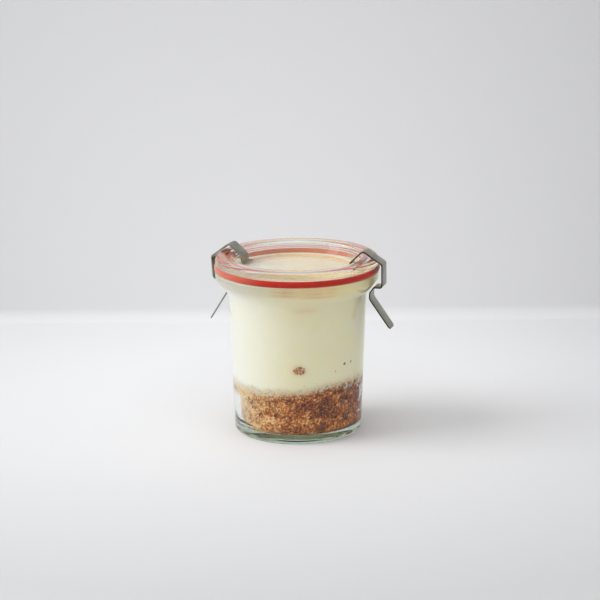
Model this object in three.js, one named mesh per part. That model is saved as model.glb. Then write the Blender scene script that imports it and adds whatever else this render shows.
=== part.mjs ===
// A biscuit cheesecake in a small glass preserving jar: a crumb base under a cheesecake
// cream, closed by a glass lid on a rubber ring, with two steel spring clips.
// Millimetres, +Z up. The jar stands on z = 0 round the Z axis, and -Y is its front.

import * as THREE from "three";

// Jar: the body widens from the foot to the shoulder, under a thick flared rim
const footRadius = 26.8;
const shoulderRadius = 29.2;
const shoulderHeight = 60.6;
const flareRadius = 31.75;
const flareHeight = 62.3;
const rimRadius = 34.35;
const rimEdgeHeight = 66.1;
const rimHeight = 68.9;
const mouthRadius = 28.25;
const mouthStepRadius = 27.95;
const mouthStepHeight = 64.75;
const heelRound = 2.0;
const wallThickness = 2.6;
const baseThickness = 3.5;
const innerHeelRound = 3.5;

// Rubber ring: the common 54 x 67 mm preserving ring, stretched a little round the lid's plug
const ringInnerRadius = 28.0;
const ringOuterRadius = 34.8;
const ringThickness = 2.8;
const ringRound = 1.15;

// Lid: a flange on the ring, a raised crest, a dished middle and a plug below
const lidRadius = 34.25;
const lidSeatHeight = rimHeight + ringThickness;
const crestRadius = 30.2;
const crestHeight = 75.5;
const crestInnerRadius = 27.6;
const crestDrop = 0.4;
const dishRadius = 24.5;
const dishFloorHeight = 70.1;
const plugRadius = 27.0;
const plugHeight = 66.0;
const plugTopRadius = 27.7;

// Spring clips: a steel strip bent over the rim and hooked under it, with a flared tail.
// Radii and heights of the strip's middle line, from its foot in the dish to its tip
const clipWidth = 7.2;
const clipThickness = 0.55;
const clipFootRadius = 21.4;
const clipLegRadius = 23.6;
const clipKneeRadius = 23.9;
const clipKneeHeight = 73.8;
const clipPeakRadius = 29.3;
const clipPeakHeight = 79.0;
const clipOuterRadius = 37.5;
const clipOuterHeight = 73.6;
const clipHookHeight = 63.8;
const clipHookRadius = 34.0;
const clipNeckRadius = 32.3;
const clipNeckHeight = 61.4;
const clipBendRadius = 32.2;
const clipBendHeight = 58.8;
const clipTipRadius = 41.0;
const clipTipHeight = 46.4;
const clipTailRound = 1.6;
const clipTwistTop = 66.0;
const rightClipAngle = -16;
const leftClipAngle = 158.2;
const leftClipTilt = 3.9;
const leftClipTwist = 17.4;

// Food: the crumb base, higher at the right than at the left, and the cream above it, which
// fills the jar up to the lid's plug and is squeezed up round it
const biscuitHeight = 22.3;
const rightRise = 2.2;
const leftDrop = 0.9;
const creamNeckHeight = 60.7;
const creamRimHeight = 68.4;

// Crumbs that stand up into the cream, and pits between the crumbs against the glass
const crumbCount = 620;
const smallestCrumb = 0.8;
const largestCrumb = 1.9;
const crumbRise = 1.2;
const tallestCrumb = 6.0;
const pitCount = 190;
const smallestPit = 1.3;
const largestPit = 2.8;
const pitSink = 0.32;
const pitFoot = 8.0;
const pitTop = 20.6;
const pitRow = 2.1;

// Distances from the wall to the rings of faces between biscuit and cream
const faceRings = [0, 1.2, 2.6, 4.6, 7.6, 12, 18.5];

// Faces round a turned piece, and the play left between pieces that touch
const turnedFaces = 64;
const foodFaces = 96;
const seatGap = 0.1;
const foodGap = 0.2;
const clipGap = 0.3;

const clearGlass = { color: 0xdde6e0, roughness: 0.05, metalness: 0, transparent: true, opacity: 0.35 };
const redRubber = { color: 0xc9543c, roughness: 0.55, metalness: 0 };
const springSteel = { color: 0x8f9088, roughness: 0.35, metalness: 1 };
const cheesecakeCream = { color: 0xefe9d2, roughness: 0.6, metalness: 0 };
const biscuitCrumb = { color: 0xb07f4e, roughness: 0.95, metalness: 0 };

/** Points along [r, z, fillet] corners, with each fillet drawn as an arc of `chords` chords. */
function roundedOutline(corners, closed, chords = 3) {
  const points = [];
  const count = corners.length;
  corners.forEach(([r, z, fillet = 0], i) => {
    const corner = new THREE.Vector2(r, z);
    const isEnd = !closed && (i === 0 || i === count - 1);
    if (fillet === 0 || isEnd) {
      points.push(corner);
      return;
    }
    const before = new THREE.Vector2(...corners[(i + count - 1) % count]).sub(corner).normalize();
    const after = new THREE.Vector2(...corners[(i + 1) % count]).sub(corner).normalize();
    const halfAngle = Math.acos(THREE.MathUtils.clamp(before.dot(after), -1, 1)) / 2;
    const reach = fillet / Math.tan(halfAngle);
    const middle = before.clone().add(after).normalize().multiplyScalar(fillet / Math.sin(halfAngle));
    const centre = corner.clone().add(middle);
    const start = corner.clone().addScaledVector(before, reach).sub(centre);
    const end = corner.clone().addScaledVector(after, reach).sub(centre);
    const turn = Math.atan2(start.cross(end), start.dot(end));
    for (let k = 0; k <= chords; k += 1) {
      points.push(start.clone().rotateAround(new THREE.Vector2(), turn * k / chords).add(centre));
    }
  });
  return points;
}

/** A solid turned round the Z axis from an (r, z) outline that runs up its outside. */
function turned(outline, faces = turnedFaces) {
  return new THREE.LatheGeometry(outline, faces).rotateX(Math.PI / 2);
}

/** A solid turned from an outline that runs down its outside, with its faces turned outwards. */
function turnedDown(outline, faces = turnedFaces) {
  const geometry = turned(outline, faces);
  const corners = geometry.index.array;
  for (let i = 0; i < corners.length; i += 3) {
    [corners[i + 1], corners[i + 2]] = [corners[i + 2], corners[i + 1]];
  }
  return geometry;
}

/** A named mesh with a standard material. */
function piece(name, geometry, finish) {
  const mesh = new THREE.Mesh(geometry, new THREE.MeshStandardMaterial(finish));
  mesh.name = name;
  return mesh;
}

/** Radius of the jar's inner wall at height z. */
function innerRadius(z) {
  const slope = (shoulderRadius - footRadius) / shoulderHeight;
  return footRadius + slope * z - wallThickness;
}

/** Radius of the lid's plug at height z. */
function plugRadiusAt(z) {
  return THREE.MathUtils.mapLinear(z, plugHeight, lidSeatHeight, plugRadius, plugTopRadius);
}

/** Glass jar: a tapered cup with a thick base, a flared rim and a flat top land. */
function jar() {
  const outline = roundedOutline([
    [0, 0],
    [footRadius, 0, heelRound],
    [shoulderRadius, shoulderHeight, 0.9],
    [flareRadius, flareHeight, 1.5],
    [rimRadius, rimEdgeHeight, 1.5],
    [rimRadius, rimHeight, 0.8],
    [mouthRadius, rimHeight, 0.6],
    [mouthStepRadius, mouthStepHeight],
    [innerRadius(shoulderHeight), shoulderHeight],
    [innerRadius(baseThickness), baseThickness, innerHeelRound],
    [0, baseThickness],
  ], false);
  return piece("jar", turned(outline), clearGlass);
}

/** Rubber ring: a flat washer with a round outer edge. */
function ring() {
  const bottom = rimHeight + seatGap;
  const top = lidSeatHeight - seatGap;
  const outline = roundedOutline([
    [ringInnerRadius, bottom],
    [ringOuterRadius, bottom, ringRound],
    [ringOuterRadius, top, ringRound],
    [ringInnerRadius, top],
  ], true);
  outline.push(outline[0].clone());
  return piece("ring", turned(outline), redRubber);
}

/** Glass lid: a dished disc with a raised crest, a flange and a plug that sits in the mouth. */
function lid() {
  const outline = roundedOutline([
    [0, plugHeight],
    [plugRadius, plugHeight, 1.2],
    [plugTopRadius, lidSeatHeight],
    [lidRadius, lidSeatHeight, 0.6],
    [lidRadius, crestHeight - crestDrop, 1.8],
    [crestRadius, crestHeight],
    [crestInnerRadius, crestHeight - crestDrop, 0.9],
    [dishRadius, dishFloorHeight, 1.0],
    [0, dishFloorHeight],
  ], false);
  return piece("lid", turned(outline), clearGlass);
}

/** Centre line of a clip's strip, in its own plane: foot, arch, outer leg, hook and tail. */
function clipLine() {
  const footHeight = dishFloorHeight + clipGap + clipThickness / 2;
  const tip = new THREE.Vector2(clipTipRadius, clipTipHeight);
  const line = roundedOutline([
    [clipFootRadius, footHeight],
    [clipLegRadius, footHeight, 0.6],
    [clipKneeRadius, clipKneeHeight, 1.2],
    [clipPeakRadius, clipPeakHeight, 1.6],
    [clipOuterRadius, clipOuterHeight, 1.4],
    [clipOuterRadius, clipHookHeight, 1.0],
    [clipHookRadius, clipHookHeight, 0.8],
    [clipNeckRadius, clipNeckHeight, 1.0],
    [clipBendRadius, clipBendHeight, 2.5],
    [tip.x, tip.y],
  ], false).slice(0, -1);
  const bend = line[line.length - 1];
  [1, 0.55, 0.25, 0.08, 0].forEach((part) => {
    line.push(tip.clone().lerp(bend, part * clipTailRound / tip.distanceTo(bend)));
  });
  return line;
}

/** Outline of a strip of the clip's thickness along a centre line. */
function stripOutline(line) {
  const half = clipThickness / 2;
  const sides = [1, -1].map((side) => line.map((point, i) => {
    const before = line[Math.max(i - 1, 0)];
    const after = line[Math.min(i + 1, line.length - 1)];
    const along = after.clone().sub(before).normalize();
    return new THREE.Vector2(point.x - side * half * along.y, point.y + side * half * along.x);
  }));
  return sides[0].concat(sides[1].reverse());
}

/** Twists a clip about its outer leg, from nothing above the hook to the whole at the bend. */
function twistDown(at, twist) {
  const leg = new THREE.Vector2(clipOuterRadius, 0);
  for (let i = 0; i < at.count; i += 1) {
    const drop = clipTwistTop - at.getY(i);
    const share = THREE.MathUtils.smoothstep(drop, 0, clipTwistTop - clipBendHeight);
    const point = new THREE.Vector2(at.getX(i), -at.getZ(i));
    point.rotateAround(leg, share * THREE.MathUtils.degToRad(twist));
    at.setXYZ(i, point.x, at.getY(i), -point.y);
  }
}

/** Steel clip at an angle round the jar, its leg twisted, leaning out by a tilt about its foot. */
function clip(name, angle, tilt, twist) {
  const line = clipLine();
  const tip = line[line.length - 1];
  const tailWay = tip.clone().sub(line[line.length - 2]).normalize();
  const shape = new THREE.Shape(stripOutline(line));
  const geometry = new THREE.ExtrudeGeometry(shape, { depth: 1, steps: 1, bevelEnabled: false });
  geometry.translate(0, 0, -0.5);
  const at = geometry.attributes.position;
  for (let i = 0; i < at.count; i += 1) {
    const fromTip = tip.clone().sub(new THREE.Vector2(at.getX(i), at.getY(i))).dot(tailWay);
    const inset = Math.max(clipTailRound - Math.max(fromTip, 0), 0);
    const corner = clipTailRound - Math.sqrt(clipTailRound ** 2 - inset ** 2);
    at.setZ(i, at.getZ(i) * (clipWidth - 2 * corner));
  }
  twistDown(at, twist);
  const foot = line[0];
  geometry.translate(-foot.x, -foot.y, 0);
  geometry.rotateZ(THREE.MathUtils.degToRad(-tilt));
  geometry.translate(foot.x, foot.y, 0);
  geometry.rotateX(Math.PI / 2);
  const mesh = piece(name, geometry, springSteel);
  mesh.rotation.z = THREE.MathUtils.degToRad(angle);
  return mesh;
}

/** Repeatable random numbers from 0 to 1. */
function randomNumbers(seed) {
  let state = seed;
  return () => {
    state = (Math.imul(state, 1664525) + 1013904223) >>> 0;
    return state / 4294967296;
  };
}

/** Crumbs scattered evenly over the top of the crumb base, each a centre and a radius. */
function scatteredCrumbs() {
  const random = randomNumbers(7);
  return Array.from({ length: crumbCount }, () => {
    const away = innerRadius(biscuitHeight) * Math.sqrt(random());
    const angle = 2 * Math.PI * random();
    const radius = THREE.MathUtils.lerp(smallestCrumb, largestCrumb, random() ** 2);
    return { at: new THREE.Vector2(away, 0).rotateAround(new THREE.Vector2(), angle), radius };
  });
}

/** Pits scattered evenly over the side of the crumb base, each a centre and a radius. */
function scatteredPits() {
  const random = randomNumbers(11);
  return Array.from({ length: pitCount }, () => {
    const angle = 2 * Math.PI * random();
    const z = THREE.MathUtils.lerp(pitFoot, pitTop - pitRow, random());
    const away = innerRadius(z);
    const radius = THREE.MathUtils.lerp(smallestPit, largestPit, random());
    return { at: new THREE.Vector3(away * Math.cos(angle), away * Math.sin(angle), z), radius };
  });
}

const crumbs = scatteredCrumbs();
const pits = scatteredPits();

/** The tallest cap at a point, of round bodies given by their centre and radius. */
function tallestCap(bodies, point) {
  return bodies.reduce((tallest, body) => {
    const inside = body.radius ** 2 - body.at.distanceToSquared(point);
    return inside > 0 ? Math.max(tallest, Math.sqrt(inside)) : tallest;
  }, 0);
}

/** Height of the crumb base above its plain level at (x, y): its slope, and the crumbs. */
function crumbTop(x, y) {
  const rise = rightRise * THREE.MathUtils.smoothstep(x, 3, 14);
  const drop = leftDrop * THREE.MathUtils.smoothstep(-x, 4, 16);
  return rise - drop + crumbRise * tallestCap(crumbs, new THREE.Vector2(x, y));
}

/** Radii of the rings of faces between biscuit and cream, from the wall to the middle. */
function faceRadii() {
  const wall = innerRadius(pitTop - pitRow) - foodGap;
  return faceRings.map((distance) => wall - distance);
}

/** Crumb base: it fills the jar's round heel, pitted at the glass and rough on top. */
function biscuit() {
  const floor = baseThickness + foodGap;
  const wall = innerRadius(baseThickness) - foodGap;
  const outline = roundedOutline([[0, floor], [wall, floor, innerHeelRound], [wall, pitFoot]], false);
  for (let z = pitFoot + pitRow; z < pitTop; z += pitRow) {
    outline.push(new THREE.Vector2(innerRadius(z - pitRow) - foodGap, z));
  }
  faceRadii().forEach((r) => outline.push(new THREE.Vector2(r, biscuitHeight)));
  outline.push(new THREE.Vector2(0, biscuitHeight));
  const geometry = turned(outline, foodFaces);
  const at = geometry.attributes.position;
  for (let i = 0; i < at.count; i += 1) {
    const point = new THREE.Vector3().fromBufferAttribute(at, i);
    if (point.z > pitTop) {
      at.setZ(i, point.z + crumbTop(point.x, point.y));
    } else {
      const away = Math.hypot(point.x, point.y);
      const scale = away > 1 ? 1 - pitSink * tallestCap(pits, point) / away : 1;
      at.setXY(i, point.x * scale, point.y * scale);
    }
  }
  return piece("biscuit", geometry, biscuitCrumb);
}

/** Cheesecake cream: it lies on the crumbs and fills the jar to the lid, up round its plug. */
function cream() {
  const bottom = biscuitHeight + foodGap;
  const low = bottom + tallestCrumb;
  const top = plugHeight - foodGap;
  const outline = roundedOutline([
    [0, top],
    [plugRadius + foodGap, top],
    [plugRadiusAt(creamRimHeight) + foodGap, creamRimHeight],
    [mouthRadius - foodGap, creamRimHeight],
    [mouthStepRadius - foodGap, mouthStepHeight],
    [innerRadius(creamNeckHeight) - foodGap, creamNeckHeight],
    [innerRadius(low) - foodGap, low],
  ], false);
  faceRadii().forEach((r) => outline.push(new THREE.Vector2(r, bottom)));
  outline.push(new THREE.Vector2(0, bottom));
  const geometry = turnedDown(outline, foodFaces);
  const at = geometry.attributes.position;
  for (let i = 0; i < at.count; i += 1) {
    if (at.getZ(i) < bottom + 0.01) {
      at.setZ(i, at.getZ(i) + crumbTop(at.getX(i), at.getY(i)));
    }
  }
  return piece("cream", geometry, cheesecakeCream);
}

const cheesecakeJar = new THREE.Group();
cheesecakeJar.add(
  jar(),
  biscuit(),
  cream(),
  ring(),
  lid(),
  clip("clip_right", rightClipAngle, 0, 0),
  clip("clip_left", leftClipAngle, leftClipTilt, leftClipTwist),
);

export default cheesecakeJar;
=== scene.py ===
import math

import bpy
import numpy as np
from mathutils import Matrix, Vector


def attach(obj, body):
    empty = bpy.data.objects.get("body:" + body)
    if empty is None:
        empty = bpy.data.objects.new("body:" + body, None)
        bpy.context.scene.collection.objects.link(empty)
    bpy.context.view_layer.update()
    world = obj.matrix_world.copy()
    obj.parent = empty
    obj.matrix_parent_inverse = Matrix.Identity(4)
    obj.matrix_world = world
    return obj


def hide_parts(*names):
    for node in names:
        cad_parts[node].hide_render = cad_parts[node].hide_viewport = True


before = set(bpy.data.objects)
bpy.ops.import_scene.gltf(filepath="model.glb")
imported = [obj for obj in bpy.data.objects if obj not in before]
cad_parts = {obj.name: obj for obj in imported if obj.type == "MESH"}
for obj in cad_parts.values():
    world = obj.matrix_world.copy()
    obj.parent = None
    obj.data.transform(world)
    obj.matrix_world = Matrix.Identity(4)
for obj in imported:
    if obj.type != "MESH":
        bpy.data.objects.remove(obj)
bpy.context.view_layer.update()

# A biscuit cheesecake in a small glass preserving jar: +Z up, -Y is the front.
# Objects are in metres. Sizes here are in millimetres and become metres as a mesh is made.
# Outlines are (radius, height, fillet) corners that run up the outside.

MM = 0.001
# Points round a turned piece, and the longest stretch of a turned glass outline
TURNS, GLASS_STEP = 224, 2.0
# Touching solids keep this gap, and a film of air this thin parts what lies loose on the glass
SOLIDS_GAP, AIR_FILM = 0.3, 0.04

# Jar
FOOT_R, SHOULDER_R, SHOULDER_Z = 26.8, 29.2, 60.6
FLARE_R, FLARE_Z = 31.75, 62.3
RIM_R, RIM_EDGE_Z, RIM_Z = 34.35, 66.1, 68.9
MOUTH_R, MOUTH_STEP_R, MOUTH_STEP_Z = 28.25, 27.95, 64.75
HEEL, WALL, BASE, INNER_HEEL = 2.0, 2.6, 3.5, 3.5
PUSH_UP, PUSH_UP_R, PUSH_UP_SLOPE = 0.6, 21.0, 3.0

# Rubber ring and its ribs: their radii, the corners of one as (step aside, share of its
# height), and how deep they are pressed into the glass
RING_R, RING_OUT_R, RING_T, RING_EDGE, RING_INNER_EDGE = 28.0, 34.8, 2.8, 1.2, 0.2
RIB_R, RIB_IN_GLASS = (29.3, 31.3), 0.02
RIB_CORNERS = ((-0.7, 0), (-0.4, 1), (0.4, 1), (0.7, 0))
# The ring is painted paler inward of its round outer edge, and paler at the left as a painted
# highlight where the light falls: how far in from its edge and how far to the left this starts and
# is full
PALER_INWARDS, RING_LIT_LEFT_X = (0.9, 1.2), (-14, -34)

# Lid
SEAT_Z = RIM_Z + RING_T
LID_R, CREST_R, CREST_Z, CREST_IN_R, CREST_DROP = 34.25, 30.2, 75.5, 27.6, 0.4
DISH_R, DISH_Z = 24.5, 70.1
PLUG_R, PLUG_Z, PLUG_TOP_R = 27.0, 66.0, 27.7

# Spring clips: the strip, the length of its rows and their number over the round of its tail,
# where its leg hangs and between which heights it twists, and its middle line from the foot in
# the dish to the tip of the tail
CLIP_W, CLIP_T, CLIP_EDGE, TAIL_ROUND = 7.2, 0.55, 0.12, 1.6
CLIP_STEP, TAIL_ROWS = 1.2, 9
CLIP_FOOT_Z, CLIP_HOOK_Z = DISH_Z + SOLIDS_GAP + CLIP_T / 2, 63.8
CLIP_LEG_R, TWIST_TOP_Z, TWIST_END_Z = 37.5, 66.0, 58.8
CLIP_LINE = [
    (21.4, CLIP_FOOT_Z, 0), (23.6, CLIP_FOOT_Z, 0.6), (23.9, 73.8, 1.2), (29.3, 79.0, 1.6),
    (CLIP_LEG_R, 73.6, 1.4), (CLIP_LEG_R, CLIP_HOOK_Z, 1.0), (34.0, CLIP_HOOK_Z, 0.8),
    (32.3, 61.4, 1.0), (32.2, TWIST_END_Z, 2.5), (41.0, 46.4, 0),
]
# Each clip's angle round the jar, its lean outwards and the twist of its leg, in degrees
CLIP_PLACES = {"clip_right": (-16, 0, 0), "clip_left": (158.2, 3.9, 17.4)}

# Food: how high it stands, where the crumbs rise at the right and drop at the left, how uneven
# their level is and over what width, and how deep food lies in the glass that it wets
CRUMB_TOP, RIGHT_RISE, LEFT_DROP = 23.2, 2.2, 0.9
RISE_X, DROP_X, UNEVEN, UNEVEN_SIZE = (3, 14), (4, 16), 0.5, 7.0
CREAM_RIM_Z = 68.4
CREAM_IN_GLASS, CRUMB_IN_GLASS = 0.02, 0.06
# Over the crumbs' level: the lowest and highest that a crumb reaches alone into the cream. And
# how far below that level the cream's edge lies, out of sight among the crumbs
LOWEST_LONE, HIGHEST_LONE, CREAM_SINKS = -1.2, 3.0, 3.6


def linear(code):
    """Linear RGBA of an sRGB hex colour."""
    part = [int(code[i:i + 2], 16) / 255 for i in (1, 3, 5)]
    return [c / 12.92 if c <= 0.04045 else ((c + 0.055) / 1.055) ** 2.4 for c in part] + [1.0]


def rotated(u, v, turn):
    """The pair (u, v) turned by an angle: (u cos - v sin, u sin + v cos)."""
    return u * np.cos(turn) - v * np.sin(turn), u * np.sin(turn) + v * np.cos(turn)


def rounded(corners, chords=7, closed=False):
    """Points along (r, z, fillet) corners. A fillet is an arc of that radius, tangent to both
    sides of its corner: its centre lies on the corner's middle line at radius / sin(half angle),
    and its points are equal turns of the first radius."""
    points = []
    count = len(corners)
    for i, (r, z, fillet) in enumerate(corners):
        corner = np.array([r, z], float)
        if fillet == 0 or (not closed and i in (0, count - 1)):
            points.append(corner[None])
            continue
        before = np.array(corners[i - 1][:2]) - corner
        after = np.array(corners[(i + 1) % count][:2]) - corner
        before, after = before / np.linalg.norm(before), after / np.linalg.norm(after)
        half = math.acos(np.clip(before @ after, -1, 1)) / 2
        middle = (before + after) / np.linalg.norm(before + after)
        centre = corner + middle * fillet / math.sin(half)
        first = corner + before * fillet / math.tan(half) - centre
        last = corner + after * fillet / math.tan(half) - centre
        sweep = math.atan2(first[0] * last[1] - first[1] * last[0], first @ last)
        arc = np.stack(rotated(*first, np.linspace(0, sweep, chords + 1)), 1)
        points.append(centre + arc)
    return np.concatenate(points)


def finer(outline, longest):
    """The outline with each stretch cut into equal lengths of at most longest."""
    rows = []
    for a, b in zip(outline[:-1], outline[1:]):
        cuts = max(1, int(np.ceil(np.linalg.norm(b - a) / longest)))
        rows.append(a + (b - a) * (np.arange(cuts) / cuts)[:, None])
    return np.concatenate(rows + [outline[-1:]])


def grid_faces(rows, columns, rows_close=False):
    """Quads of a grid of points whose columns close on themselves, and its rows where asked."""
    i = np.arange(rows if rows_close else rows - 1)[:, None]
    j = np.arange(columns)[None]
    below, above = i * columns, ((i + 1) % rows) * columns
    right = (j + 1) % columns
    corners = np.broadcast_arrays(below + j, below + right, above + right, above + j)
    return np.stack(corners, -1).reshape(-1, 4)


def add_piece(name, points, faces, material, caps=(), smooth=True):
    """A mesh at the origin from points in millimetres, faces as rows of point numbers, and caps
    given as (middle point, ring of point numbers), each a fan of triangles."""
    points = np.asarray(points, float)
    fans = []
    for middle, rim in caps:
        rim = np.asarray(rim)
        fans.append(np.stack([rim, np.roll(rim, -1), np.full(len(rim), len(points))], 1))
        points = np.vstack([points, middle])
    triangles = np.concatenate(fans) if fans else np.zeros((0, 3), int)
    loops = np.concatenate([np.asarray(faces).ravel(), triangles.ravel()])
    sizes = np.concatenate([np.full(len(faces), faces.shape[1]), np.full(len(triangles), 3)])
    mesh = bpy.data.meshes.new(name)
    mesh.vertices.add(len(points))
    mesh.vertices.foreach_set("co", (points * MM).astype(np.float32).ravel())
    mesh.loops.add(len(loops))
    mesh.loops.foreach_set("vertex_index", loops.astype(np.int32))
    mesh.polygons.add(len(sizes))
    mesh.polygons.foreach_set("loop_start", (np.cumsum(sizes) - sizes).astype(np.int32))
    mesh.polygons.foreach_set("use_smooth", np.full(len(sizes), smooth))
    mesh.update(calc_edges=True)
    mesh.validate()
    mesh.materials.append(material)
    piece = bpy.data.objects.new(name, mesh)
    bpy.context.scene.collection.objects.link(piece)
    return piece


def add_values(piece, **values):
    """Named numbers for each point of the piece, for its material. Points that caps added get 0."""
    for name, numbers in values.items():
        full = np.zeros(len(piece.data.vertices), np.float32)
        full[:numbers.size] = np.ravel(numbers)
        piece.data.attributes.new(name, "FLOAT", "POINT").data.foreach_set("value", full)


def add_uv(piece, across, along):
    """A UV map in millimetres over a grid piece: across and along for each of its points."""
    flat = np.zeros((len(piece.data.vertices), 2), np.float32)
    flat[:across.size, 0] = np.ravel(across)
    flat[:along.size, 1] = np.ravel(along)
    corner = np.empty(len(piece.data.loops), np.int32)
    piece.data.loops.foreach_get("vertex_index", corner)
    piece.data.uv_layers.new(name="strip").data.foreach_set("uv", flat[corner].ravel())


def turned(name, outline, material, closed=False, shape=None):
    """A solid of revolution: each (r, z) point of the outline goes round the Z axis as
    (r cos a, r sin a, z). An open outline starts and ends on the axis, where a fan closes it.
    shape(a, r, z) gives the r and z of every point, where it isn't quite round."""
    outline = np.asarray(outline)
    ends = outline[0, 1], outline[-1, 1]
    if not closed:
        outline = outline[1:-1]
    a = np.arange(TURNS)[None] / TURNS * 2 * math.pi
    r, z = outline[:, :1] + 0 * a, outline[:, 1:] + 0 * a
    if shape:
        r, z = shape(a, r, z)
    points = np.stack([r * np.cos(a), r * np.sin(a), z], -1).reshape(-1, 3)
    last = (len(outline) - 1) * TURNS
    rim = np.arange(TURNS)
    caps = [] if closed else [((0, 0, ends[0]), rim[::-1]), ((0, 0, ends[1]), last + rim)]
    return add_piece(name, points, grid_faces(len(outline), TURNS, closed), material, caps)


def inner_r(z):
    """Radius of the jar's inner wall at height z."""
    return FOOT_R + (SHOULDER_R - FOOT_R) / SHOULDER_Z * z - WALL


def eased(low, high, x):
    """0 below low, 1 above high, and smooth between."""
    t = np.clip((x - low) / (high - low), 0, 1)
    return t * t * (3 - 2 * t)


def cell_number(cell, seed):
    """A number from 0 to 1 for each cell of a lattice: its three whole numbers, mixed."""
    x, y, z = (cell[..., k].astype(np.int64).astype(np.uint64) for k in range(3))
    h = x * np.uint64(73856093) ^ y * np.uint64(19349663) ^ z * np.uint64(83492791)
    h = (h ^ np.uint64(seed * 7919 + 17)) * np.uint64(0x9E3779B97F4A7C15)
    h = (h ^ (h >> np.uint64(29))) * np.uint64(0xBF58476D1CE4E5B9)
    return ((h ^ (h >> np.uint64(32))) >> np.uint64(40)).astype(float) / 2**24


def grain(points, size, seed):
    """Smooth noise from -1 to 1: a number for each corner of a lattice of that size, blended."""
    q = np.asarray(points) / size + 1000
    cell = np.floor(q)
    t = q - cell
    t = t * t * (3 - 2 * t)
    total = 0
    for corner in np.ndindex(2, 2, 2):
        share = np.prod(np.where(corner, t, 1 - t), -1)
        total = total + share * cell_number(cell + np.array(corner), seed)
    return total * 2 - 1


def crags(points, size, octaves, seed):
    """Noise summed over octaves, each half the size and half the height of the one before."""
    return sum(grain(points, size / 2**k, seed + k) / 2**k for k in range(octaves))


def nearest_crumb(points, size, seed):
    """The nearest of the crumbs that fill space, one in each cell of a lattice of that size, at
    a place of its own: its distance, the next one's, its own number, and its centre."""
    q = np.asarray(points) / size + 1000
    cell = np.floor(q)
    best = np.full(q.shape[:-1], 9.0)
    second = best.copy()
    number = np.zeros_like(best)
    centre = np.zeros_like(q)
    for step in np.ndindex(3, 3, 3):
        near = cell + np.array(step) - 1
        place = near + np.stack([cell_number(near, seed + k) for k in range(3)], -1)
        distance = np.linalg.norm(place - q, axis=-1)
        closer = distance < best
        second = np.where(closer, best, np.minimum(second, distance))
        best = np.where(closer, distance, best)
        number = np.where(closer, cell_number(near, seed + 3), number)
        centre = np.where(closer[..., None], place, centre)
    return best, second, number, (centre - 1000) * size


def new_material(name):
    """An empty node material, and the function that adds a node to it: its sockets by name or
    number, each with a value or the output that feeds it, the stops of a colour ramp as (place,
    hex colour), and its settings."""
    material = bpy.data.materials.new(name)
    material.use_nodes = True
    tree = material.node_tree
    tree.nodes.clear()

    def node(kind, sockets=None, stops=(), **settings):
        made = tree.nodes.new("ShaderNode" + kind)
        for key, value in settings.items():
            setattr(made, key, value)
        for key, value in (sockets or {}).items():
            socket = made.inputs[key]
            if isinstance(value, bpy.types.NodeSocket):
                tree.links.new(value, socket)
            else:
                socket.default_value = value
        while len(stops) > len(made.color_ramp.elements if stops else ()):
            made.color_ramp.elements.new(1.0)
        for number, (place, code) in enumerate(stops):
            made.color_ramp.elements[number].position = place
            made.color_ramp.elements[number].color = linear(code)
        return made

    return material, node


# The sockets of a Mix node: its share, two colours and their blend, and two plain numbers
SHARE, FROM, TO, BLEND = 0, 6, 7, 2
FROM_NUMBER, TO_NUMBER = 2, 3

# How strongly the jar's thick glass and the lid's clearer glass take light that isn't green
JAR_GREEN, LID_GREEN = 28.0, 8.0


def pressed_glass(name, green_density):
    """Pressed soda-lime glass, fire-polished: clear and glossy, with the slow waves that a
    plunger leaves, and a green cast where the light goes a long way through it, stronger with
    the density. Lamps and soft light shine through it, as they do through thin glass."""
    material, node = new_material(name)
    place = node("TexCoord").outputs["Object"]
    slow = node("TexNoise", {"Vector": place, "Scale": 1 / (9 * MM), "Detail": 1.0})
    bump = node("Bump", {"Height": slow.outputs["Fac"], "Strength": 1.0, "Distance": 0.05 * MM})
    body = node("BsdfPrincipled", {
        "Base Color": (1, 1, 1, 1), "Roughness": 0.015, "IOR": 1.52,
        "Transmission Weight": 1.0, "Normal": bump.outputs["Normal"],
    })
    clear = node("BsdfTransparent", {"Color": linear("#f8faf8")})
    path = node("LightPath")
    through = node("Math", {0: path.outputs["Is Shadow Ray"], 1: path.outputs["Is Diffuse Ray"]},
                   operation="MAXIMUM")
    mixed = node("MixShader", {0: through.outputs[0], 1: body.outputs[0], 2: clear.outputs[0]})
    green = node("VolumeAbsorption", {"Color": linear("#bcd3c0"), "Density": green_density})
    node("OutputMaterial", {"Surface": mixed.outputs[0], "Volume": green.outputs[0]})
    return material


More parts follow.
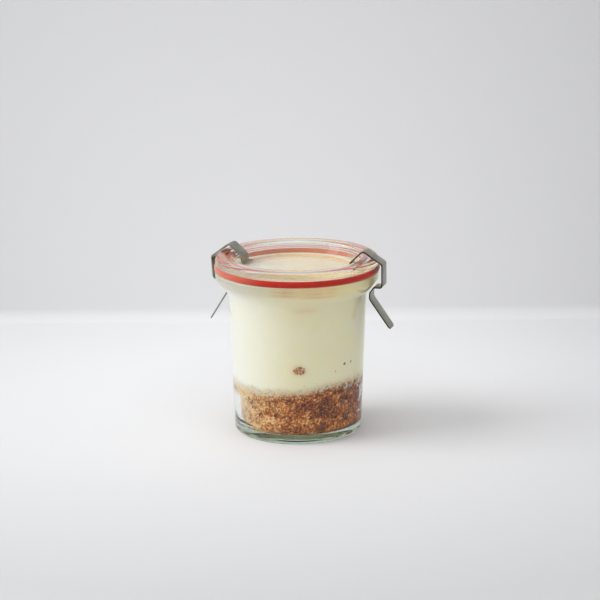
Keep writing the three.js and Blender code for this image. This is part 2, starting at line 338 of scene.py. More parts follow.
def moulded_rubber():
    """Moulded natural rubber, orange-red: satin, a little light in its body, faintly mottled
    and paler inward of its round outer edge. At the left it is painted paler still, a painted
    highlight where the light from the left falls."""
    material, node = new_material("moulded_natural_rubber")
    place = node("TexCoord").outputs["Object"]
    mottle = node("TexNoise", {"Vector": place, "Scale": 1 / (2.2 * MM), "Detail": 4.0})
    fine = node("TexNoise", {"Vector": place, "Scale": 1 / (0.35 * MM), "Detail": 2.0})
    colour = node("ValToRGB", {"Fac": mottle.outputs["Fac"]},
                  stops=[(0.3, "#ae1c0c"), (0.7, "#bb2814")])
    bump = node("Bump", {"Height": fine.outputs["Fac"], "Strength": 0.4, "Distance": 0.03 * MM})
    flat = node("VectorMath", {0: place, 1: (1, 1, 0)}, operation="MULTIPLY")
    reach = node("VectorMath", {0: flat.outputs[0]}, operation="LENGTH").outputs["Value"]
    inside = node("MapRange", {
        "Value": reach, "From Min": (RING_OUT_R - PALER_INWARDS[0]) * MM,
        "From Max": (RING_OUT_R - PALER_INWARDS[1]) * MM, "To Max": 0.4,
    })
    # Painted highlight: the ring is painted paler at the left, where the light falls
    x = node("SeparateXYZ", {0: place}).outputs["X"]
    left = node("MapRange", {"Value": x, "From Min": RING_LIT_LEFT_X[0] * MM,
                             "From Max": RING_LIT_LEFT_X[1] * MM, "To Max": 0.3})
    paler_inside_and_lit_left = node("Math", {0: inside.outputs[0], 1: left.outputs[0]}, operation="MAXIMUM")
    # The paler colour: plain paler inward, and a painted highlight at the left
    paled_colour = node("Mix", {SHARE: paler_inside_and_lit_left.outputs[0], FROM: colour.outputs["Color"],
                        TO: linear("#fbb98e")}, data_type="RGBA")
    body = node("BsdfPrincipled", {
        "Base Color": paled_colour.outputs[BLEND], "Roughness": 0.4, "Specular IOR Level": 0.25,
        "Sheen Weight": 0.5, "Sheen Roughness": 0.35, "Subsurface Weight": 0.2,
        "Subsurface Radius": (1.0, 0.25, 0.12), "Subsurface Scale": 1.0 * MM,
        "Normal": bump.outputs["Normal"],
    })
    node("OutputMaterial", {"Surface": body.outputs[0]})
    return material


# Lines of the steel's grain in a millimetre, across the strip and along it
GRAIN_ACROSS, GRAIN_ALONG = 9.0, 0.12


def rolled_steel():
    """Rolled stainless spring steel: grey with a fine grain along the strip, drawn coarser than
    it is so that it shows from near, and slightly darker smudges where it was handled. One long
    edge is painted dark and rough, painted shade and a painted dark reflection; the other is
    smooth."""
    material, node = new_material("rolled_spring_steel")
    strip = node("UVMap", uv_map="strip").outputs["UV"]
    lines = node("Mapping", {"Vector": strip, "Scale": (GRAIN_ACROSS, GRAIN_ALONG, 1.0)})
    grain_lines = node("TexNoise", {"Vector": lines.outputs[0], "Scale": 1.0, "Detail": 3.0})
    place = node("TexCoord").outputs["Object"]
    smudge = node("TexNoise", {"Vector": place, "Scale": 1 / (3.5 * MM), "Detail": 3.0})
    both = node("Math", {0: grain_lines.outputs["Fac"], 1: smudge.outputs["Fac"]},
                operation="MULTIPLY")
    colour = node("ValToRGB", {"Fac": both.outputs[0]},
                  stops=[(0.1, "#86857a"), (0.45, "#b2b0a1")])
    across = node("SeparateXYZ", {0: strip}).outputs["X"]
    # Painted shade and reflection: one long edge is painted dark and rough, the other is left
    # smooth
    painted_dark_edge = node("MapRange", {"Value": across, "From Min": CLIP_EDGE - CLIP_W / 2,
                                "From Max": 0.3 * CLIP_EDGE - CLIP_W / 2})
    face_rough = node("MapRange", {"Value": grain_lines.outputs["Fac"],
                                   "To Min": 0.24, "To Max": 0.4})
    rough = node("Mix", {SHARE: painted_dark_edge.outputs[0], FROM_NUMBER: face_rough.outputs[0],
                         TO_NUMBER: 0.55})
    colour_with_painted_edge = node("Mix", {SHARE: painted_dark_edge.outputs[0], FROM: colour.outputs["Color"],
                          TO: linear("#2c241e")}, data_type="RGBA")
    bump = node("Bump", {"Height": grain_lines.outputs["Fac"], "Strength": 0.5,
                         "Distance": 0.012 * MM})
    body = node("BsdfPrincipled", {
        "Base Color": colour_with_painted_edge.outputs[BLEND], "Metallic": 1.0, "Roughness": rough.outputs[0],
        "Normal": bump.outputs["Normal"],
    })
    node("OutputMaterial", {"Surface": body.outputs[0]})
    return material


# Painted light: the cream is painted paler towards the left, where the light falls, from the
# first of these places to the second
PAINTED_LIGHT_X = (-2, -24)


def set_cream():
    """Set cheesecake cream: ivory, dense and smooth with a soft sheen, and painted paler at the
    left as painted light. Light goes a little way into it. Biscuit butter stains it by the crumbs,
    near the mouth and, as a thin film, under the lid: the piece's own number says how much."""
    material, node = new_material("set_cheesecake_cream")
    place = node("TexCoord").outputs["Object"]
    cloud = node("TexNoise", {"Vector": place, "Scale": 1 / (11 * MM), "Detail": 3.0})
    fine = node("TexNoise", {"Vector": place, "Scale": 1 / (0.9 * MM), "Detail": 3.0})
    cloudy = node("ValToRGB", {"Fac": cloud.outputs["Fac"]},
                  stops=[(0.3, "#fdebc9"), (0.7, "#fdedd1")])
    # Painted light: the cream is painted paler towards the left, where the light falls
    x = node("SeparateXYZ", {0: place}).outputs["X"]
    paler = node("MapRange", {"Value": x, "From Min": PAINTED_LIGHT_X[0] * MM,
                              "From Max": PAINTED_LIGHT_X[1] * MM})
    plain = node("Mix", {SHARE: paler.outputs[0], FROM: cloudy.outputs["Color"],
                         TO: linear("#f8f0e7")}, data_type="RGBA")
    stain = node("Attribute", attribute_name="stain").outputs["Fac"]
    colour = node("Mix", {SHARE: stain, FROM: plain.outputs[BLEND], TO: linear("#c8935a")},
                  data_type="RGBA")
    bump = node("Bump", {"Height": fine.outputs["Fac"], "Strength": 0.3, "Distance": 0.05 * MM})
    body = node("BsdfPrincipled", {
        "Base Color": colour.outputs[BLEND], "Roughness": 0.5, "Specular IOR Level": 0.15,
        "Subsurface Weight": 1.0, "Subsurface Radius": (1.0, 0.8, 0.5),
        "Subsurface Scale": 3.5 * MM, "Normal": bump.outputs["Normal"],
    })
    node("OutputMaterial", {"Surface": body.outputs[0]})
    return material


def biscuit_crumb():
    """Crushed butter biscuit, pressed down: dull, each crumb its own shade from dark crust to
    pale baked dough, with dark brown between crumbs, partly their own brown and partly painted
    shade, and cream over the highest ones. The piece's own numbers say how pale each point is,
    with painted light at the left and painted shade at the right, how near it lies to the dark
    between crumbs, and how much cream covers it, with a painted haze of light at the left."""
    material, node = new_material("buttered_biscuit_crumb")
    place = node("TexCoord").outputs["Object"]
    # Each crumb's own shade, with painted light at the left and painted shade at the right
    tone = node("Attribute", attribute_name="tone").outputs["Fac"]
    gap = node("Attribute", attribute_name="gap").outputs["Fac"]
    fine = node("TexNoise", {"Vector": place, "Scale": 1 / (0.45 * MM), "Detail": 4.0,
                             "Roughness": 0.7})
    spread = node("MapRange", {"Value": fine.outputs["Fac"], "From Min": 0.3, "From Max": 0.7,
                               "To Min": -0.2, "To Max": 0.2}, clamp=False)
    shade = node("Math", {0: tone, 1: spread.outputs[0]}, operation="ADD")
    crumb = node("ValToRGB", {"Fac": shade.outputs[0]}, stops=[
        (0.0, "#2a0c04"), (0.15, "#7a330f"), (0.45, "#b65c1a"), (0.75, "#e39446"), (1.0, "#f8cf98"),
    ])
    # Cream over the crumbs, and a painted haze of light at the left
    coat = node("Attribute", attribute_name="coat").outputs["Fac"]
    coated_and_hazed = node("Mix", {SHARE: coat, FROM: crumb.outputs["Color"], TO: linear("#f0e2ba")},
                  data_type="RGBA")
    # Dark between crumbs: partly their own brown, partly painted shade
    colour = node("Mix", {SHARE: gap, FROM: coated_and_hazed.outputs[BLEND], TO: linear("#47200e")},
                  data_type="RGBA")
    bump = node("Bump", {"Height": fine.outputs["Fac"], "Strength": 0.5, "Distance": 0.04 * MM})
    body = node("BsdfPrincipled", {
        "Base Color": colour.outputs[BLEND], "Roughness": 0.75, "Specular IOR Level": 0.1,
        "Subsurface Weight": 0.1, "Subsurface Radius": (1.0, 0.6, 0.3),
        "Subsurface Scale": 0.5 * MM, "Normal": bump.outputs["Normal"],
    })
    node("OutputMaterial", {"Surface": body.outputs[0]})
    return material


def jar_piece(material):
    """The jar: a tapered cup with a thick base, a flared rim and a flat land under the ring."""
    outline = rounded([
        (0, PUSH_UP, 0), (PUSH_UP_R - PUSH_UP_SLOPE, PUSH_UP, 2.0), (PUSH_UP_R, 0, 1.0),
        (FOOT_R, 0, HEEL), (SHOULDER_R, SHOULDER_Z, 0.9), (FLARE_R, FLARE_Z, 1.5),
        (RIM_R, RIM_EDGE_Z, 1.5), (RIM_R, RIM_Z, 0.8), (MOUTH_R, RIM_Z, 0.6),
        (MOUTH_STEP_R, MOUTH_STEP_Z, 0.5), (inner_r(SHOULDER_Z), SHOULDER_Z, 1.2),
        (inner_r(BASE), BASE, INNER_HEEL), (0, BASE, 0),
    ])
    return turned("glass_jar", finer(outline, GLASS_STEP), material)


def ring_piece(material):
    """The rubber ring: a flat washer with a round outer edge. Each face has two low ribs, which
    are pressed to the glass and show through it. A film of air parts the rest of the face from
    the glass, which mirrors there."""
    low, high = RIM_Z + AIR_FILM, SEAT_Z - AIR_FILM
    tall = AIR_FILM + RIB_IN_GLASS
    ribs = [(r + step, share * tall) for r in RIB_R for step, share in RIB_CORNERS]
    outline = rounded([
        (RING_R, low, RING_INNER_EDGE), *[(r, low - lift, 0) for r, lift in ribs],
        (RING_OUT_R, low, RING_EDGE), (RING_OUT_R, high, RING_EDGE),
        *[(r, high + lift, 0) for r, lift in ribs[::-1]], (RING_R, high, RING_INNER_EDGE),
    ], closed=True)
    return turned("rubber_ring", outline, material, closed=True)


def lid_piece(material):
    """The lid: a flange on the ring, a raised crest, a dished middle and a plug below."""
    outline = rounded([
        (0, PLUG_Z, 0), (PLUG_R, PLUG_Z, 1.2), (PLUG_TOP_R, SEAT_Z, 0.3), (LID_R, SEAT_Z, 0.6),
        (LID_R, CREST_Z - CREST_DROP, 1.8), (CREST_R, CREST_Z, 2.5),
        (CREST_IN_R, CREST_Z - CREST_DROP, 0.9), (DISH_R, DISH_Z, 1.0), (0, DISH_Z, 0),
    ])
    return turned("glass_lid", finer(outline, GLASS_STEP), material)


def clip_piece(name, angle, lean, twist, material):
    """A clip: a rounded rectangle of the strip's width and thickness carried along its middle
    line, whose corners at the tail are quarter circles. It is twisted about its leg, more and
    more on the way down, leans out about its foot and is turned to its place round the jar."""
    line = finer(rounded(CLIP_LINE, chords=8), CLIP_STEP)
    tip, before = line[-1], line[-2]
    way = (tip - before) / np.linalg.norm(tip - before)
    back = TAIL_ROUND * (1 - np.sin(np.linspace(0, math.pi / 2, TAIL_ROWS)))
    straight = line[(line - tip) @ -way > TAIL_ROUND + 0.1]
    line = np.concatenate([straight, tip - way * back[:, None]])
    along = np.gradient(line, axis=0)
    along /= np.linalg.norm(along, axis=1, keepdims=True)
    outward = np.stack([-along[:, 1], along[:, 0]], 1)
    inset = np.clip(TAIL_ROUND - (line - tip) @ -way, 0, TAIL_ROUND)
    cut = TAIL_ROUND - np.sqrt(TAIL_ROUND**2 - inset**2)
    section = rounded([
        (-CLIP_W / 2, -CLIP_T / 2, CLIP_EDGE), (CLIP_W / 2, -CLIP_T / 2, CLIP_EDGE),
        (CLIP_W / 2, CLIP_T / 2, CLIP_EDGE), (-CLIP_W / 2, CLIP_T / 2, CLIP_EDGE),
    ], chords=3, closed=True)
    wide = section[:, 0] * (1 - 2 * cut[:, None] / CLIP_W)
    flat = line[:, None] + outward[:, None] * section[None, :, 1:]
    share = eased(0, TWIST_TOP_Z - TWIST_END_Z, TWIST_TOP_Z - flat[..., 1])
    out, aside = rotated(flat[..., 0] - CLIP_LEG_R, wide, math.radians(twist) * share)
    foot_r, foot_z = line[0]
    out, up = rotated(out + CLIP_LEG_R - foot_r, flat[..., 1] - foot_z, math.radians(-lean))
    x, y = rotated(out + foot_r, aside, math.radians(angle))
    points = np.stack([x, y, up + foot_z], -1)
    rows, columns = wide.shape
    rim = np.arange(columns)
    caps = [(points[0].mean(0), rim[::-1]), (points[-1].mean(0), (rows - 1) * columns + rim)]
    piece = add_piece(name, points.reshape(-1, 3), grid_faces(rows, columns), material, caps)
    length = np.concatenate([[0], np.cumsum(np.linalg.norm(np.diff(line, axis=0), axis=1))])
    add_uv(piece, section[:, 0] + 0 * wide, length[:, None] + 0 * wide)
    return piece


def crumb_level(x, y):
    """Height of the crumb base's top at a point of its plan: higher at the right, lower at the
    left, with slow unevenness."""
    slope = RIGHT_RISE * eased(*RISE_X, x) - LEFT_DROP * eased(*DROP_X, -x)
    at = np.stack(np.broadcast_arrays(x, y, 0.0), -1)
    return CRUMB_TOP + slope + UNEVEN * crags(at, UNEVEN_SIZE, 2, 31)


# The skin of the crumb bed: points round it, its floor, how far its wall goes up behind the
# cream, the height of a row, the rows over its top and how far in from the wall they start. Of
# the first rows, which are its floor and the start of its heel, one in FLOOR_STEP is kept
BED_TURNS, BED_FLOOR, BED_WALL_TOP, BED_ROW = 640, BASE + AIR_FILM, 29.4, 0.27
BED_TOP_ROWS, TOP_INSET, FLOOR_ROWS, FLOOR_STEP = 26, 2, 84, 4
# How far the top lies below the crumbs' level, and how much a crumb is domed
TOP_BELOW, DOMED = 1.0, 0.6
# How wide a crumb is, a small one among them and a clump of them, and how wavy their sides are
CRUMB_SIZE, SMALL_SIZE, CLUMP_SIZE, WAVES, WAVE_SIZE = 1.0, 0.6, 3.2, 0.3, 0.9
# How much a clump shifts the crumbs' level, and the power that makes most lone crumbs low
CLUMP_RISE, LOW_ONES = 0.8, 1.8
# How far the skin falls back from the glass in a dry gap, at a dry crumb and between lone crumbs
GAP_DEPTH, DRY_DEPTH, LONE_DEPTH = 0.7, 0.15, 1.2
# Where dry gaps start at the right and dry crumbs at the left, in degrees from the front, and
# the heights between which the gaps start
GAPS_FROM, DRY_FROM, GAPS_Z = (40, 52), (44, 64), (7, 10)
# The middle tone of the crumbs, and what a crumb's number, a small one's and its clump do to it
MIDDLE_TONE, BY_CRUMB, BY_SMALL, BY_CLUMP = 0.43, 0.2, 0.8, 0.22
# How much the crumbs are painted paler at the left and darker at the right, painted light and
# painted shade from the light that falls from the left, and how much paler they are at the top
# edge, and between which places: to the left, to the right, and over the crumbs' level
PAINTED_LIGHT_LEFT, PAINTED_SHADE_RIGHT, PALER_TOP = 0.5, 0.1, 0.2
PAINTED_LIGHT_LEFT_X, PAINTED_SHADE_RIGHT_X, PALER_TOP_Z = (-3, 20), (12, 22), (-4, 0)
# The share of crumbs that are dark crust, and their tone
DARK_CRUSTS, DARK_TONE = 0.03, 0.03
# How dark gaps between crumbs and between small ones are, partly their own brown and partly
# painted shade, and how wide, in shares of a crumb
CRUMB_GAPS_AND_SHADE, CRUMB_GAP_WIDE, SMALL_GAPS_AND_SHADE, SMALL_GAP_WIDE = 0.4, 0.4, 0.3, 0.5
# How thickly cream covers the crumbs of the edge, how much a painted haze of light adds to it at
# the left and between which places, and its limit
EDGE_COAT, PAINTED_HAZE_LEFT, PAINTED_HAZE_LEFT_X, FULL_COAT = 0.85, 0.35, (12, 24), 0.85


def bed_outline():
    """Half of the bed's section, from its dry floor round the heel, up the wall and in over its
    top, without its two ends on the axis, and the number of the first row that the top has."""
    wall = finer(rounded([
        (0, BED_FLOOR, 0), (inner_r(BASE) + CRUMB_IN_GLASS, BED_FLOOR, INNER_HEEL),
        (inner_r(BED_WALL_TOP) + CRUMB_IN_GLASS, BED_WALL_TOP, 0),
    ], chords=12), BED_ROW)
    inward = np.stack([np.linspace(wall[-1, 0] - TOP_INSET, 0, BED_TOP_ROWS),
                       np.full(BED_TOP_ROWS, BED_WALL_TOP)], 1)
    wall = np.concatenate([wall[:FLOOR_ROWS:FLOOR_STEP], wall[FLOOR_ROWS:]])
    return np.concatenate([wall, inward])[1:-1], len(wall) - 1


def biscuit_piece(material):
    """The crumb base as one skin round its dry floor, its heel, wall and top. Butter holds its
    crumbs to the glass, so the wall of the bed lies in it, but for dry gaps between crumbs at
    the right, and dry crumbs at the left, below the cream. Towards the top the crumbs thin out,
    each up to a height of its own, and cream coats them: between them the wall falls back
    behind the cream. The top lies under the crumbs' level, each crumb domed over its middle."""
    outline, top_row = bed_outline()
    a = np.arange(BED_TURNS)[None] / BED_TURNS * 2 * math.pi
    r, z = outline[:, :1] + 0 * a, outline[:, 1:] + 0 * a
    at = np.stack([r * np.cos(a), r * np.sin(a), z], -1)
    warped = at + WAVES * np.stack([grain(at, WAVE_SIZE, 90 + k) for k in range(3)], -1)
    first, second, number, centre = nearest_crumb(warped, CRUMB_SIZE, 5)
    small_first, small_second, small_number, small_centre = nearest_crumb(warped, SMALL_SIZE, 15)
    clumps = crags(at, CLUMP_SIZE, 3, 61)
    level = crumb_level(at[..., 0], at[..., 1])
    # How high each small crumb lies over the level, which clumps make uneven
    above = small_centre[..., 2] - level - CLUMP_RISE * clumps

    # How far the wall falls back from the glass: over the height that its number gives it, a
    # small crumb is missing, and another number, made of the first, says which ones lie dry
    missing = above - LOWEST_LONE - (HIGHEST_LONE - LOWEST_LONE) * small_number**LOW_ONES
    to_right = (np.degrees(a) + 270) % 360 - 180
    dry_gap = eased(0.5, 0.75, small_first) * eased(0.1, 0.4, grain(at, 1.6, 66))
    dry_gap = dry_gap * eased(*GAPS_FROM, to_right) * eased(*GAPS_Z, z)
    loose = eased(*DRY_FROM, -to_right) * eased(CREAM_SINKS, CREAM_SINKS + 3, -above)
    another_number = small_number * 7.3 % 1
    dry_crumb = eased(-0.05, 0.05, 1.1 * loose - another_number)
    sink = GAP_DEPTH * dry_gap + DRY_DEPTH * dry_crumb + LONE_DEPTH * eased(-0.2, 0.2, missing)
    sink = sink * eased(BASE, BASE + 1.5, z)

    on_top = np.arange(len(outline))[:, None] >= top_row
    r = np.where(on_top, r, np.maximum(r - sink, 0.2))
    z = np.where(on_top, np.minimum(level - TOP_BELOW - DOMED * first, BED_WALL_TOP), z)
    points = np.stack([r * np.cos(a), r * np.sin(a), z], -1)
    rim = np.arange(BED_TURNS)
    last = (len(outline) - 1) * BED_TURNS
    top_z = float(points[-1, :, 2].mean())
    caps = [((0, 0, BED_FLOOR), rim[::-1]), ((0, 0, top_z), last + rim)]
    piece = add_piece("biscuit_bed", points.reshape(-1, 3), grid_faces(len(outline), BED_TURNS),
                      material, caps)

    # How pale each point is, with painted light at the left and painted shade at the right, how
    # near the dark between crumbs it lies, which is partly painted shade, and how much cream covers
    # it, with a painted haze of light at the left
    x = at[..., 0]
    tone = MIDDLE_TONE + BY_CRUMB * (number - 0.5) + BY_SMALL * (small_number - 0.5)
    tone = tone + BY_CLUMP * clumps + PALER_TOP * eased(*PALER_TOP_Z, above)
    # Painted light and painted shade: paler at the left, darker at the right
    tone = tone + PAINTED_LIGHT_LEFT * eased(*PAINTED_LIGHT_LEFT_X, -x) - PAINTED_SHADE_RIGHT * eased(*PAINTED_SHADE_RIGHT_X, x)
    dark_crust = cell_number(np.round(centre * 10), 8) < DARK_CRUSTS
    # The dark between crumbs is partly their own brown, partly painted shade
    gap = CRUMB_GAPS_AND_SHADE * np.clip(1 - (second - first) / CRUMB_GAP_WIDE, 0, 1)
    small_gap = SMALL_GAPS_AND_SHADE * np.clip(1 - (small_second - small_first) / SMALL_GAP_WIDE, 0, 1)
    in_bed = 1 - 0.8 * eased(-2.5, 0, above)
    coat = EDGE_COAT * eased(LOWEST_LONE - 2, HIGHEST_LONE - 1, above)
    # Painted light: a pale haze of cream colour painted over the crumbs at the left
    coat = coat + PAINTED_HAZE_LEFT * eased(*PAINTED_HAZE_LEFT_X, -x)
    add_values(piece, tone=np.clip(np.where(dark_crust, DARK_TONE, tone), 0, 1),
               gap=(gap + small_gap * eased(-0.3, 0.5, -clumps)) * in_bed,
               coat=np.clip(coat, 0, FULL_COAT))
    return piece


def plug_r(z):
    """Radius of the lid's plug at height z."""
    return PLUG_R + (PLUG_TOP_R - PLUG_R) * (z - PLUG_Z) / (SEAT_Z - PLUG_Z)


# The cream's underside before it is shaped, the height below which its side is drawn down or up
# to the crumbs, the radius past which it lies on the wall, and the longest stretch of its outline
CREAM_LOW_Z, SHAPED_BELOW_Z, ON_WALL_R, CREAM_STEP = 19.0, 30, 20, 0.5
# The ripples of its edge under the ring: their height and width, and how far the edge drops
RIPPLE, RIPPLE_SIZE, RIPPLE_DROP = 0.35, 5.0, 0.2


def cream_piece(material):
    """The cream: it wets the glass from among the crumbs to the lid's plug, and was squeezed up
    round the plug to an uneven edge under the ring. Its lower part is stretched in height, in
    proportion, so that its edge follows the crumbs' level, and keeps to the tapered glass."""
    low, wet = CREAM_LOW_Z, CREAM_IN_GLASS
    outline = rounded([
        (0, low, 0), (inner_r(low) + wet, low, 0),
        (inner_r(SHOULDER_Z) + wet, SHOULDER_Z, 1.2),
        (MOUTH_STEP_R + wet, MOUTH_STEP_Z, 0.5), (MOUTH_R - wet, CREAM_RIM_Z, 0.15),
        (plug_r(CREAM_RIM_Z) - wet, CREAM_RIM_Z, 0.15), (PLUG_R - wet, PLUG_Z + wet, 1.2),
        (0, PLUG_Z + wet, 0),
    ])

    def shape(a, r, z):
        at = np.stack(np.broadcast_arrays(r * np.cos(a), r * np.sin(a), z), -1)
        edge = crumb_level(at[..., 0], at[..., 1]) - CREAM_SINKS
        lower = edge + (SHAPED_BELOW_Z - edge) * (z - low) / (SHAPED_BELOW_Z - low)
        lower = np.where(z < SHAPED_BELOW_Z, lower, z)
        r = r + (inner_r(lower) - inner_r(z)) * (r > ON_WALL_R)
        ripple = RIPPLE * crags(at * [1, 1, 0], RIPPLE_SIZE, 3, 75) - RIPPLE_DROP
        return r, np.where(z > CREAM_RIM_Z - 0.3, z + ripple, lower)

    piece = turned("cream_fill", finer(outline, CREAM_STEP), material, shape=shape)
    at = np.empty(len(piece.data.vertices) * 3, np.float32)
    piece.data.vertices.foreach_get("co", at)
    at = at.reshape(-1, 3) / MM
    add_values(piece, stain=smears(at))
    return piece


# Smears of biscuit butter on the cream: degrees from the front towards the right, height,
# half width along the wall, half height, and strength. Then the strength of the even film
# under the lid, that of the stain by the crumbs and how far below their level it starts and is
# full, and how much and how finely noise breaks it all up
SMEARS = [(-9, 66.2, 5.0, 0.6, 0.4), (17, 65.3, 6.0, 0.8, 0.35), (6, 57.9, 4.5, 1.0, 0.2),
          (20, 66.8, 9.0, 0.5, 0.25), (1.3, 32.2, 2.2, 1.8, 0.75)]
UNDER_LID, BY_CRUMBS, BY_CRUMBS_Z = 0.12, 0.3, (-2.5, 0.5)
BROKEN_UP, BROKEN_SIZE = 0.4, 3.5


def smears(at):
    """How strongly each point is stained: soft ellipses on the wall, a film under the lid and
    more and more towards the crumbs, broken up by noise."""
    round_way = np.degrees(np.arctan2(at[:, 0], -at[:, 1]))
    total = np.zeros(len(at))
    for angle, height, wide, tall, strength in SMEARS:
        aside = np.radians(round_way - angle) * inner_r(height) / wide
        total += strength * np.exp(-aside**2 - ((at[:, 2] - height) / tall)**2)
    under = (at[:, 2] > PLUG_Z - 0.1) & (np.hypot(at[:, 0], at[:, 1]) < PLUG_R)
    total = np.where(under, UNDER_LID, total)
    total += BY_CRUMBS * eased(*BY_CRUMBS_Z, crumb_level(at[:, 0], at[:, 1]) - at[:, 2])
    return np.clip(total * (1 + BROKEN_UP * crags(at, BROKEN_SIZE, 2, 81)), 0, 1)


# Crumbs caught in the cream at the glass: degrees from the front towards the right, height,
# half width and half height of the group, number of crumbs, smallest and largest radius. Then
# how much a crumb is stretched, how craggy it is, and its tone
CAUGHT = [(1.3, 32.2, 2.2, 1.8, 44, 0.18, 0.42), (46, 33.0, 0.4, 0.4, 5, 0.35, 0.55),
          (56, 32.9, 0.6, 0.6, 3, 0.25, 0.35), (36, 30.8, 0.4, 0.4, 2, 0.2, 0.28)]
STRETCHED, CRAGGY, CAUGHT_TONES = (0.7, 1.1), 0.3, (0.1, 0.95)


def caught_crumbs(material):
    """Small crumbs caught in the cream: each a ball of a few rings of points, made craggy. Its
    middle lies on the jar's inner wall, and what would reach deeper into the glass than crumbs
    do is pressed back, so that the glass shows a flat face."""
    random = np.random.default_rng(4)
    rings, around = 5, 8
    lat = (np.arange(rings) + 1) / (rings + 1) * math.pi - math.pi / 2
    lon = np.arange(around) / around * 2 * math.pi
    ball = np.stack([
        (np.cos(lat)[:, None] * np.cos(lon)).ravel(),
        (np.cos(lat)[:, None] * np.sin(lon)).ravel(),
        (np.sin(lat)[:, None] + 0 * lon).ravel(),
    ], -1)
    ball = np.vstack([ball, [[0, 0, -1], [0, 0, 1]]])
    rim = np.arange(around)
    south = np.stack([np.roll(rim, -1), rim, np.full(around, rings * around)], 1)
    north = (rings - 1) * around + rim
    north = np.stack([north, np.roll(north, -1), np.full(around, rings * around + 1)], 1)
    quads = grid_faces(rings, around)
    skin = np.concatenate([quads[:, [0, 1, 2]], quads[:, [0, 2, 3]], south, north])
    points, faces, tones = [], [], []
    for angle, height, wide, tall, count, small, large in CAUGHT:
        way = random.uniform(0, 2 * math.pi, count)
        out = np.sqrt(random.uniform(0, 1, count))
        z = height + tall * out * np.sin(way)
        radius = random.uniform(small, large, count)
        wall_r = inner_r(z)
        turn = np.radians(angle) + wide * out * np.cos(way) / wall_r
        middle = np.stack([wall_r * np.sin(turn), -wall_r * np.cos(turn), z], -1)
        body = ball[None] * random.uniform(*STRETCHED, (count, 1, 3)) * radius[:, None, None]
        body = body * (1 + CRAGGY * random.uniform(-1, 1, (count, len(ball), 1)))
        placed = middle[:, None] + body
        reach = np.hypot(placed[..., 0], placed[..., 1])
        limit = inner_r(placed[..., 2]) + CRUMB_IN_GLASS
        placed[..., :2] *= np.minimum(1, limit / reach)[..., None]
        start = sum(len(p) for p in points)
        points.append(placed.reshape(-1, 3))
        faces.append((start + np.arange(count)[:, None, None] * len(ball) + skin).reshape(-1, 3))
        tones.append(np.repeat(random.uniform(*CAUGHT_TONES, count), len(ball)))
    points, faces, tones = map(np.concatenate, (points, faces, tones))
    piece = add_piece("crumbs_in_cream", points, faces, material, smooth=False)
    add_values(piece, tone=tones, gap=0 * tones, coat=0 * tones)
    return piece


# The backdrop: its floor's height just under the jar, the wall behind, the bend between them,
# how far it reaches to the front, the sides and up, and its grid. A pool of light is painted on
# it, fading outwards from its palest place
FLOOR_Z, WALL_Y, FLOOR_BEND, SHEET_REACH, WALL_TOP = -0.1, 181, 6.5, 1600, 1500
SHEET_STEP, SHEET_COLUMNS = 60, 40
LIGHT_POOL_MIDDLE, LIGHT_POOL_R, LIGHT_POOL_EDGE_R = (0, 60, 40), 90, 260


def studio_sweep():
    """The floor and the wall behind it as one pale matt sheet, joined by a round bend. A pool of
    light is painted on it: it is painted palest round the jar and darker towards the edges of the
    picture. From behind the wall isn't seen, so that the back of the jar can be looked at."""
    material, node = new_material("matt_pale_card")
    place = node("TexCoord").outputs["Object"]
    # Painted pool of light: the sheet is painted palest round the jar and darker outwards
    away = node("VectorMath", {0: place, 1: [x * MM for x in LIGHT_POOL_MIDDLE]}, operation="DISTANCE")
    light_pool_fade = node("MapRange", {"Value": away.outputs["Value"], "From Min": LIGHT_POOL_R * MM,
                             "From Max": LIGHT_POOL_EDGE_R * MM})
    colour = node("ValToRGB", {"Fac": light_pool_fade.outputs[0]}, stops=[(0.0, "#eeeeef"), (1.0, "#d2d2d3")])
    body = node("BsdfPrincipled", {"Base Color": colour.outputs["Color"], "Roughness": 0.9})
    unseen = node("Math", {0: node("NewGeometry").outputs["Backfacing"],
                           1: node("LightPath").outputs["Is Camera Ray"]}, operation="MULTIPLY")
    clear = node("BsdfTransparent")
    sheet = node("MixShader", {0: unseen.outputs[0], 1: body.outputs[0], 2: clear.outputs[0]})
    node("OutputMaterial", {"Surface": sheet.outputs[0]})
    line = finer(rounded([
        (-SHEET_REACH, FLOOR_Z, 0), (WALL_Y, FLOOR_Z, FLOOR_BEND), (WALL_Y, WALL_TOP, 0),
    ], chords=16), SHEET_STEP)
    across = np.linspace(-SHEET_REACH, SHEET_REACH, SHEET_COLUMNS)
    y, x = np.broadcast_arrays(line[:, :1], across)
    z = line[:, 1:] + 0 * x
    i, j = np.meshgrid(np.arange(len(line) - 1), np.arange(len(across) - 1), indexing="ij")
    first = i * len(across) + j
    faces = np.stack([first, first + 1, first + len(across) + 1, first + len(across)], -1)
    return add_piece("studio_sweep", np.stack([x, y, z], -1).reshape(-1, 3),
                     faces.reshape(-1, 4), material)


# The camera: a long lens in front, looking 15 degrees down at a point in the jar
LOOK_AT_Z, DISTANCE, LOOK_DOWN, ROLL = 39.2, 927.9, 15.2, 0.49
IMAGE_SIDE, FOCAL_PIXELS, SENSOR = 600, 2192.4, 36.0
LOOK_AT_PIXEL = (297.6, 337.7)


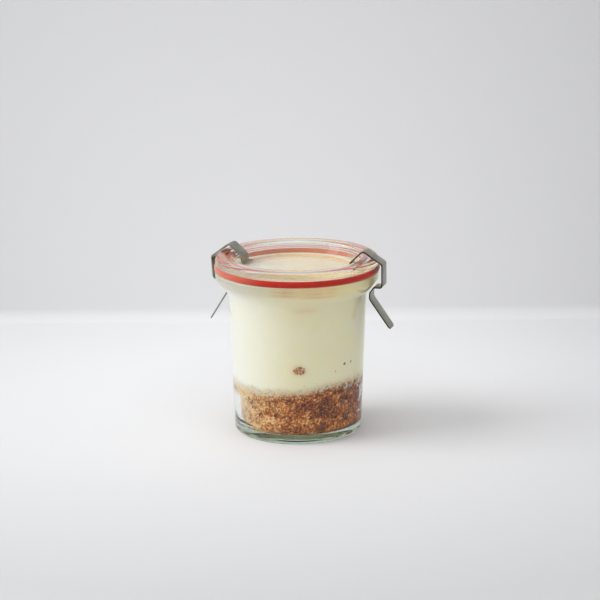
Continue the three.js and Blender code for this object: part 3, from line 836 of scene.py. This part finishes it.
def add_camera():
    """The camera is aimed so that its target falls on the target's pixel. First it looks straight
    at the target, rolled, and then it turns by what takes the pixel's ray to the lens axis."""
    data = bpy.data.cameras.new("camera")
    data.sensor_width = SENSOR
    data.lens = FOCAL_PIXELS / IMAGE_SIDE * SENSOR
    data.clip_start, data.clip_end = 0.01, 20
    camera = bpy.data.objects.new("camera", data)
    bpy.context.scene.collection.objects.link(camera)
    down, roll = math.radians(LOOK_DOWN), math.radians(ROLL)
    ahead = Vector((0, math.cos(down), -math.sin(down)))
    level, up = Vector((1, 0, 0)), Vector((0, math.sin(down), math.cos(down)))
    right = level * math.cos(roll) - up * math.sin(roll)
    top = level * math.sin(roll) + up * math.cos(roll)
    straight = Matrix((right, top, -ahead)).transposed()
    ray = Vector(((LOOK_AT_PIXEL[0] - IMAGE_SIDE / 2) / FOCAL_PIXELS,
                  (IMAGE_SIDE / 2 - LOOK_AT_PIXEL[1]) / FOCAL_PIXELS, -1)).normalized()
    turn = ray.rotation_difference(Vector((0, 0, -1))).to_matrix()
    place = Vector((0, 0, LOOK_AT_Z)) - ahead * DISTANCE
    camera.matrix_world = Matrix.Translation(place * MM) @ (straight @ turn).to_4x4()
    bpy.context.scene.camera = camera


# Lights, in metres and watts: what they face, their colour, and each one's place, side and
# power. Then the strength of the room's light
LIT_POINT, DAYLIGHT = (0, 0, 0.03), "#fbfdff"
KEY_LEFT = ((-1.0, -0.05, 0.85), 0.95, 13.2)
WINDOW_LEFT = ((-1.5, 0.5, 0.9), 1.8, 16.0)
ROOM_LIGHT = 0.81


def soft_light(name, place, side, power):
    """A square soft box that faces the lit point, and its light object."""
    data = bpy.data.lights.new(name, "AREA")
    data.size = side
    data.energy = power
    data.color = linear(DAYLIGHT)[:3]
    light = bpy.data.objects.new(name, data)
    light.location = place
    light.rotation_mode = "QUATERNION"
    light.rotation_quaternion = (Vector(LIT_POINT) - Vector(place)).to_track_quat("-Z", "Y")
    bpy.context.scene.collection.objects.link(light)
    return light


def studio_air():
    """The pale room round the set: even light from everywhere."""
    world = bpy.data.worlds.new("studio")
    world.use_nodes = True
    background = world.node_tree.nodes["Background"].inputs
    background["Color"].default_value = linear("#fdfdfd")
    background["Strength"].default_value = ROOM_LIGHT
    bpy.context.scene.world = world


studio_sweep()
add_camera()
# The key lights the set and isn't seen in reflections, and the window is seen in them alone
key = soft_light("key_left", *KEY_LEFT)
key.visible_glossy = key.visible_transmission = False
window = soft_light("window_left", *WINDOW_LEFT)
window.visible_diffuse = False
studio_air()

steel = rolled_steel()
crumb = biscuit_crumb()
made = [
    (jar_piece(pressed_glass("pressed_jar_glass", JAR_GREEN)), "clear_glass", "jar"),
    (lid_piece(pressed_glass("pressed_lid_glass", LID_GREEN)), "lid_glass", "lid"),
    (ring_piece(moulded_rubber()), "red_rubber", "ring"),
    (cream_piece(set_cream()), "cheesecake_cream", "cream"),
    (biscuit_piece(crumb), "biscuit_crumb", "biscuit"),
    (caught_crumbs(crumb), "biscuit_crumb", None),
]
for node_name, (angle, lean, twist) in CLIP_PLACES.items():
    clip = clip_piece("spring_" + node_name, angle, lean, twist, steel)
    made.append((clip, "spring_steel", node_name))
for piece, slot, stands_for in made:
    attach(piece, "root")
    if stands_for:
        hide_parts(stands_for)

view = bpy.context.scene.view_settings
view.view_transform, view.look, view.exposure, view.gamma = "Standard", "None", 0.0, 1.0
cycles = bpy.context.scene.cycles
cycles.max_bounces, cycles.transmission_bounces, cycles.transparent_max_bounces = 20, 16, 16
cycles.diffuse_bounces, cycles.glossy_bounces = 4, 8
cycles.caustics_reflective = cycles.caustics_refractive = False
cycles.use_denoising = True
